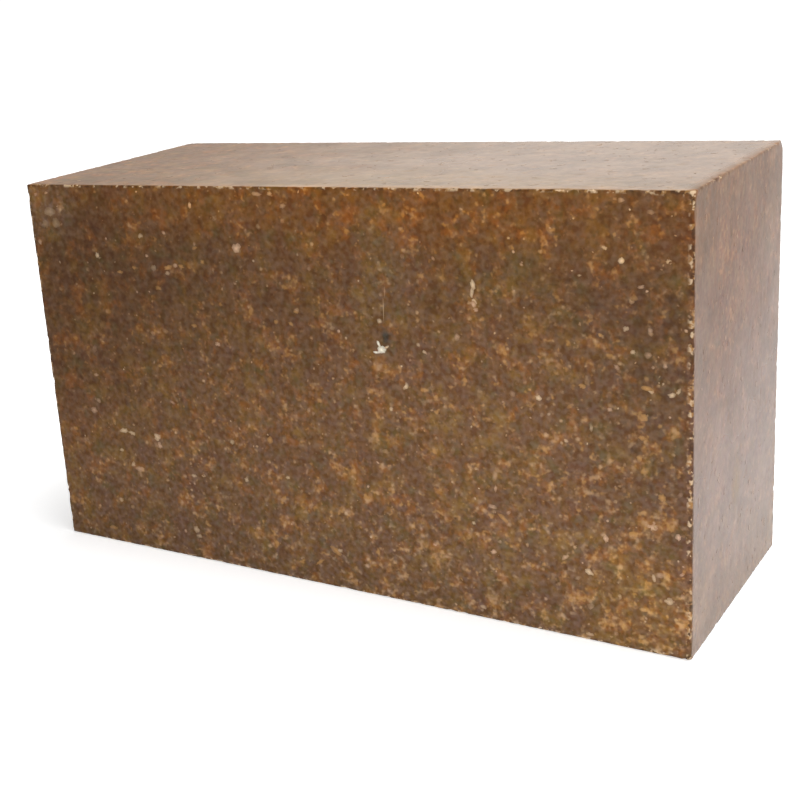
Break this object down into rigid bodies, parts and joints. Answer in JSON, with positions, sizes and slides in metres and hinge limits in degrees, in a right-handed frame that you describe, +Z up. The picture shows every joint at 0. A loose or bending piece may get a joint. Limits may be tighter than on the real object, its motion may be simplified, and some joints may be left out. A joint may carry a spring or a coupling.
{
  "type": "refractory key brick",
  "caption": "Dense fired refractory block whose upper and lower sides taper towards one end, for turning and closing a furnace or ladle lining ring.",
  "frame": {"origin": "middle of the outer box's footprint, on the plane of the lower side that the brick stands on", "axes": "+X from the small end to the large end, +Y through the thickness from the front pressed face to the back one, +Z up from the lower side"},
  "size_m": [0.255, 0.1, 0.1528],
  "materials": {
    "fired_body": "matt fired body, dark brown with ochre, tan and cream grains up to a few millimetres; the die-formed sides have a smoother, greyer skin"
  },
  "bodies": {
    "root": {"firebrick": "fired_body"}
  },
  "joints": []
}
